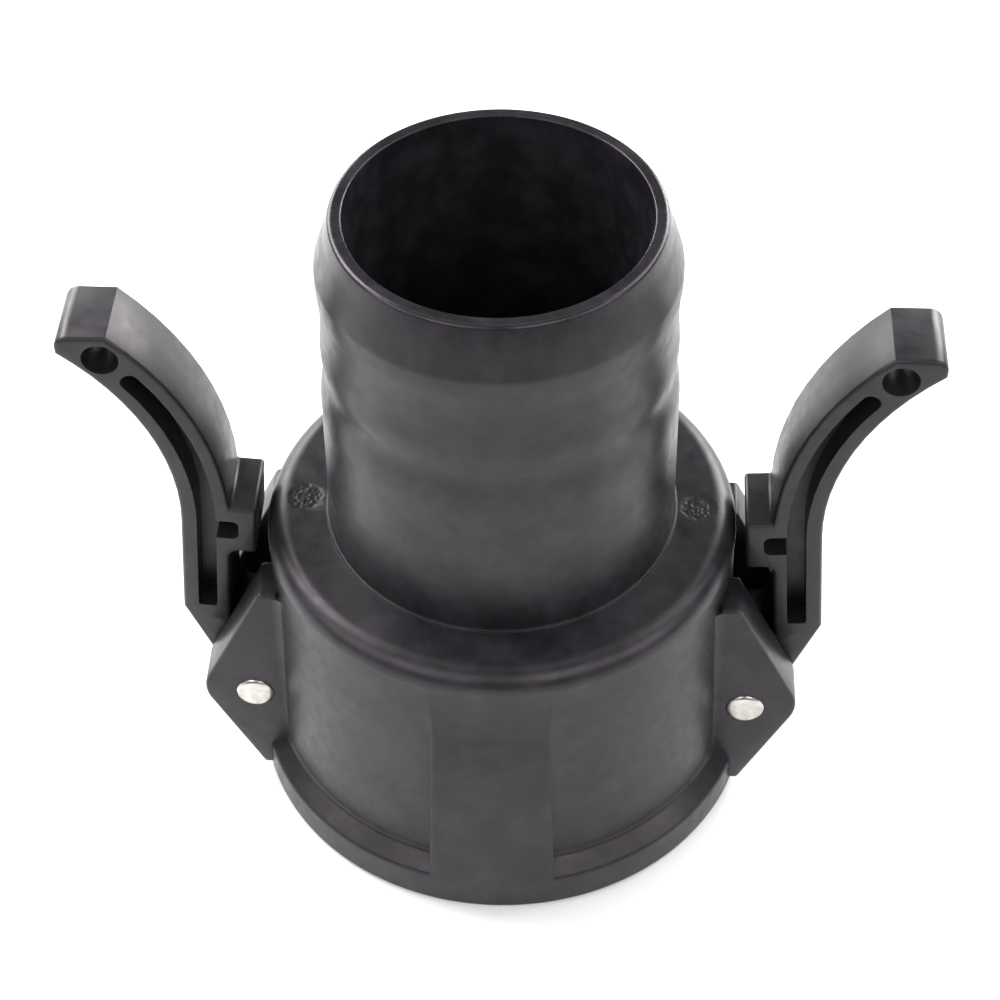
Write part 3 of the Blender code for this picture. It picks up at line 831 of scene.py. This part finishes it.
def lug_levels(levers, socket):
    """The lug's lowest and highest points above the pin, and its inner face's offset."""
    high = socket.shoulder_height + levers.lug_rise - PIN_CENTRE.z
    stand_off = PIN_CENTRE.x - shoulder_radius(socket)
    offset = (levers.lug_gap - stand_off + high * math.sin(levers.lean)) / math.cos(levers.lean)
    return high - levers.lug_height, high, offset


def lever_outline(levers, socket):
    """Side view of a closed right-hand lever about its pin: arm, tip, lug and cam."""
    inner_radius = levers.bend_radius + levers.depth
    inner_offset = levers.outer_offset - levers.depth
    heel = leaned(levers, levers.outer_offset, levers.heel_height)
    centre = bend_centre(levers)
    outer_end = math.acos((centre.x - TIP_REACH) / levers.bend_radius) + levers.lean
    inner_end = math.asin((TIP_HEIGHT - centre.y) / inner_radius) + levers.lean
    lug_low, lug_high, lug_offset = lug_levels(levers, socket)
    lug_angle = math.asin((lug_high - levers.bend_start) / inner_radius)

    outline = [heel] + bend_arc(levers, levers.bend_radius, 0, outer_end)
    tip = Vector((TIP_REACH, TIP_HEIGHT))
    tip_inner = on_bend(levers, inner_radius, inner_end)
    outline += rounded_corner(outline[-1], tip, tip_inner, levers.tip_round)
    outline += bend_arc(levers, inner_radius, inner_end, lug_angle)

    fillet = levers.hub_fillet
    fillet_offset = inner_offset - fillet
    fillet_height = math.sqrt((levers.hub_radius + fillet) ** 2 - fillet_offset ** 2)
    lug_corner = leaned(levers, lug_offset, lug_low)
    lug_root = leaned(levers, inner_offset, lug_low)
    arm_foot = leaned(levers, inner_offset, fillet_height)
    outline += [leaned(levers, lug_offset, lug_high), lug_corner]
    outline += rounded_corner(lug_corner, lug_root, arm_foot, levers.lug_fillet)
    fillet_centre = leaned(levers, fillet_offset, fillet_height)
    hub_touch = math.atan2(fillet_centre.y, fillet_centre.x)
    outline += arc(fillet_centre, fillet, levers.lean, hub_touch - math.pi)

    cam_reach = PIN_CENTRE.x - bore_radius(socket) + levers.cam_entry
    nose_offset = cam_reach - levers.cam_nose_radius
    spread = math.acos((levers.hub_radius - levers.cam_nose_radius) / nose_offset)
    outline += arc((0, 0), levers.hub_radius, hub_touch, math.pi - spread)[1:]
    outline += arc((-nose_offset, 0), levers.cam_nose_radius, math.pi - spread, math.pi + spread)
    leave = math.atan2(heel.y, heel.x) - math.acos(levers.hub_radius / heel.length)
    outline += arc((0, 0), levers.hub_radius, math.pi + spread, leave + 2 * math.pi)
    return outline


def channel_outline(levers):
    """The long pocket along the arm, with its corners rounded, more so at its upper end."""
    outer = levers.bend_radius + levers.outer_flange
    inner = levers.bend_radius + levers.depth - levers.inner_flange
    inner_offset = levers.outer_offset - levers.depth + levers.inner_flange
    end_angle = levers.tip_hole_turn - levers.tip_hole_spacing / (levers.bend_radius + levers.depth / 2)
    round_angle = end_angle - levers.channel_round / levers.bend_radius
    low_outer = leaned(levers, levers.outer_offset - levers.outer_flange, levers.channel_floor)
    low_inner = leaned(levers, inner_offset, levers.channel_floor)
    corners = [(*low_outer, levers.foot_round)]
    corners += [(*point, 0) for point in bend_arc(levers, outer, 0, round_angle)[:-1]]
    corners.append((*on_bend(levers, outer, end_angle), levers.channel_round))
    corners.append((*on_bend(levers, inner, end_angle), levers.channel_round))
    corners += [(*point, 0) for point in bend_arc(levers, inner, round_angle, 0)[1:]]
    corners.append((*low_inner, levers.foot_round))
    return rounded(corners)


def lug_slot_outline(levers, socket):
    """The short pocket that runs from the channel into the lug."""
    lug_low, _, lug_offset = lug_levels(levers, socket)
    channel_side = levers.outer_offset - levers.depth + levers.inner_flange + OVERSHOOT
    lug_side = lug_offset + levers.slot_end_wall
    low = lug_low + levers.slot_rise
    high = low + levers.slot_height
    end = levers.slot_round
    corners = ((channel_side, low, 0), (channel_side, high, 0), (lug_side, high, end), (lug_side, low, end))
    return rounded([(*leaned(levers, offset, height), radius) for offset, height, radius in corners])


def lever_solid(name, levers, socket):
    """One lever about its own pin, with its pockets, its bore and its tip hole."""
    half = LEVER_HIGH.y
    lever = extruded(name, lever_outline(levers, socket), -half, half)
    ease_edges(lever, levers.edge)
    cutters = []
    for front in (1, -1):
        low, high = sorted((front * levers.web / 2, front * (half + OVERSHOOT)))
        cutters.append(extruded("channel", channel_outline(levers), low, high))
        cutters.append(extruded("lug_slot", lug_slot_outline(levers, socket), low, high))
    pockets = combine(lever, cutters[::2], "DIFFERENCE")
    slots = combine(lever, cutters[1::2], "DIFFERENCE")
    ears = bpy.context.scene.coupler.ears
    bore = cross_rod("pin_bore", PIN_RADIUS + ears.pin_room, half + OVERSHOOT)
    spot = on_bend(levers, levers.bend_radius + levers.depth / 2, levers.tip_hole_turn)
    hole = cross_rod("tip_hole", levers.tip_hole_radius, half + OVERSHOOT, spot.x, spot.y)
    holes = combine(lever, [bore, hole], "DIFFERENCE")
    settle(lever, (pockets, slots, holes))
    return lever


# Each lamp: its name, the setting of its power, its width, its place and where it points, in metres
LAMPS = (
    ("Front left lamp", "front_power", 0.42, (-0.33, -0.57, 0.60), (0, 0, 0.055)),
    ("Front right lamp", "front_power", 0.42, (0.33, -0.57, 0.60), (0, 0, 0.055)),
    ("Side left lamp", "side_power", 0.35, (-0.60, -0.22, 0.40), (0, 0, 0.03)),
    ("Side right lamp", "side_power", 0.35, (0.60, -0.22, 0.40), (0, 0, 0.03)),
    ("Left softbox", "left_power", 0.25, (-0.33, 0.15, 0.38), (-0.1, 0.02, 0)),
    ("Right softbox", "right_power", 0.25, (0.33, 0.15, 0.38), (0.1, 0.02, 0)),
    ("Rear left softbox", "rear_left_power", 0.4, (-0.45, 0.6, 0.3), (-0.1, 0.2, 0)),
    ("Rear right softbox", "rear_right_power", 0.4, (0.45, 0.6, 0.3), (0.1, 0.2, 0)),
    ("Overhead softbox", "top_power", 0.4, (0, 0.1, 0.7), (0, 0, 0.055)),
)


class COUPLER_OT_studio(bpy.types.Operator):
    """Set up the pale floor, the soft lights and the camera"""

    bl_idname = "coupler.studio"
    bl_label = "Studio"

    def execute(self, context):
        studio = context.scene.coupler.studio
        context.scene.view_settings.view_transform = "Standard"
        self.make_floor()
        self.make_sky(context, studio)
        for name, power, width, place, aim in LAMPS:
            self.make_lamp(name, getattr(studio, power), width, Vector(place), Vector(aim))
        self.make_camera(context, studio)
        return {"FINISHED"}

    def make_floor(self):
        bm = bmesh.new()
        bmesh.ops.create_grid(bm, x_segments=8, y_segments=8, size=3.0)
        floor = new_object("floor", bm)
        floor.location.z = -FLOOR_DROP
        material, shader, place = new_material("Pale floor", FLOOR_TONES[0])
        cloud = ramp(material, clouds(material, place, FLOOR_CLOUD_SIZE), FLOOR_SPAN)
        tone = blend_colours(material, cloud, *FLOOR_TONES)
        fill(material, shader, Base_Color=tone, Roughness=0.9)
        floor.data.materials.append(material)

    def make_sky(self, context, studio):
        world = bpy.data.worlds.new("White surroundings")
        world.use_nodes = True
        background = world.node_tree.nodes["Background"]
        fill(world, background, Color=(1, 1, 1, 1), Strength=studio.sky_strength)
        context.scene.world = world

    def make_lamp(self, name, power, width, place, aim):
        """A square light that faces a point."""
        light = bpy.data.lights.new(name, "AREA")
        light.energy = power
        light.size = width
        lamp = add_object(name, light)
        lamp.location = place
        lamp.rotation_mode = "QUATERNION"
        lamp.rotation_quaternion = (aim - place).to_track_quat("-Z", "Y")

    def make_camera(self, context, studio):
        lens = bpy.data.cameras.new("Camera")
        lens.lens = studio.camera_lens
        lens.sensor_width = 36
        lens.clip_start = 0.01
        camera = add_object("Camera", lens)
        heading = Matrix.Rotation(studio.camera_azimuth, 4, "Z")
        place = heading @ Vector((0, -studio.camera_reach, studio.camera_height))
        turn = Matrix.Rotation(studio.camera_azimuth - studio.camera_yaw, 4, "Z")
        tilt = Matrix.Rotation(math.pi / 2 - studio.camera_pitch, 4, "X")
        roll = Matrix.Rotation(studio.camera_roll, 4, "Z")
        camera.matrix_world = Matrix.Translation(place) @ turn @ tilt @ roll
        context.scene.camera = camera


class COUPLER_OT_body(bpy.types.Operator):
    """Build the moulded body: socket, ears, shoulder and hose tail"""

    bl_idname = "coupler.body"
    bl_label = "Moulded body"

    def execute(self, context):
        coupler = context.scene.coupler
        socket = coupler.socket
        corners = socket_corners(socket) + tail_corners(coupler.tail, socket)
        outline = rounded(corners + inside_corners(coupler.tail, socket))
        body = turned("moulded_body", outline, TURN_STEPS)
        joined = combine(body, ears_and_roots(coupler.ears, socket) + pads(socket), "UNION")
        openings = windows_and_pin_holes(coupler.ears, socket, coupler.levers)
        cut = combine(body, openings + gate_marks(coupler.tail, socket), "DIFFERENCE")
        settle(body, (joined, cut))
        plastic = moulded_plastic("body", coupler.finishes)
        dress(body, plastic, "body", "coupler_body")
        return {"FINISHED"}


class COUPLER_OT_gasket(bpy.types.Operator):
    """Build the flat rubber seal in its groove"""

    bl_idname = "coupler.gasket"
    bl_label = "Gasket"

    def execute(self, context):
        coupler = context.scene.coupler
        sizes = coupler.gasket
        outer = GASKET_HIGH.y
        inner = outer - sizes.width
        low = GASKET_LOW.z
        high = GASKET_HIGH.z
        bevel = sizes.bevel
        outline = rounded([
            (inner, low, sizes.edge),
            (outer - bevel, low, BEVEL_ROUND),
            (outer, low + bevel, BEVEL_ROUND),
            (outer, high - bevel, BEVEL_ROUND),
            (outer - bevel, high, BEVEL_ROUND),
            (inner, high, sizes.edge),
        ])
        seal = turned("seal_ring", outline, TURN_STEPS)
        settle(seal)
        dress(seal, seal_rubber(coupler.finishes), "body", "gasket")
        return {"FINISHED"}


class COUPLER_OT_levers(bpy.types.Operator):
    """Build the two cam levers, the left one as the right one turned half round"""

    bl_idname = "coupler.levers"
    bl_label = "Cam levers"

    def execute(self, context):
        coupler = context.scene.coupler
        plastic = moulded_plastic("lever", coupler.finishes)
        for side, sign in SIDES:
            lever = lever_solid(f"lever_{side}", coupler.levers, coupler.socket)
            lever.rotation_euler.z = 0 if sign > 0 else math.pi
            lever.location = (sign * PIN_CENTRE.x, 0, PIN_CENTRE.z)
            dress(lever, plastic, f"lever_{side}", f"cam_lever_{side}")
        return {"FINISHED"}


class COUPLER_OT_pins(bpy.types.Operator):
    """Build the two steel pins with their slightly domed ends"""

    bl_idname = "coupler.pins"
    bl_label = "Pivot pins"

    def execute(self, context):
        coupler = context.scene.coupler
        steel = bright_steel(coupler.finishes)
        for side, sign in SIDES:
            pin = turned(f"pin_{side}", self.outline(coupler.pins), PIN_STEPS)
            pin.data.transform(Matrix.Rotation(math.pi / 2, 4, "X"))
            settle(pin)
            pin.location = (sign * PIN_CENTRE.x, 0, PIN_CENTRE.z)
            dress(pin, steel, "body", f"pivot_pin_{side}")
        return {"FINISHED"}

    def outline(self, pins):
        """Half the pin's section, from the middle of one domed end to the middle of the other."""
        half = PIN_HIGH.y
        flat = PIN_RADIUS - pins.edge
        dome_radius = (flat ** 2 + pins.dome ** 2) / (2 * pins.dome)
        spread = math.asin(flat / dome_radius)
        headings = [math.pi / 2 - spread * i / DOME_STEPS for i in range(DOME_STEPS + 1)]
        middle = half - dome_radius
        end = [Vector((dome_radius * math.cos(a), middle + dome_radius * math.sin(a))) for a in headings]
        end.append(Vector((PIN_RADIUS, half - pins.dome - pins.edge)))
        other_end = [Vector((point.x, -point.y)) for point in reversed(end)]
        return end + other_end


class COUPLER_PT_panel(bpy.types.Panel):
    """Lists the coupler's pieces in the order that they are made in"""

    bl_idname = "COUPLER_PT_panel"
    bl_label = "Camlock coupler"
    bl_space_type = "VIEW_3D"
    bl_region_type = "UI"
    bl_category = "Coupler"

    def draw(self, context):
        for step in STEPS:
            self.layout.operator(step.bl_idname, text=step.bl_label)


STEPS = (COUPLER_OT_studio, COUPLER_OT_body, COUPLER_OT_gasket, COUPLER_OT_pins, COUPLER_OT_levers)

SETTINGS = (
    CouplerSocketSizes, CouplerTailSizes, CouplerEarSizes, CouplerLeverSizes, CouplerPinSizes,
    CouplerGasketSizes, CouplerFinishes, CouplerStudioSettings, CouplerSettings,
)


def register():
    for cls in (*SETTINGS, *STEPS, COUPLER_PT_panel):
        bpy.utils.register_class(cls)
    bpy.types.Scene.coupler = PointerProperty(type=CouplerSettings)


def unregister():
    del bpy.types.Scene.coupler
    for cls in reversed((*SETTINGS, *STEPS, COUPLER_PT_panel)):
        bpy.utils.unregister_class(cls)


def main():
    register()
    bpy.ops.coupler.studio()
    bpy.ops.coupler.body()
    bpy.ops.coupler.gasket()
    bpy.ops.coupler.pins()
    bpy.ops.coupler.levers()


if __name__ == "__main__":
    main()
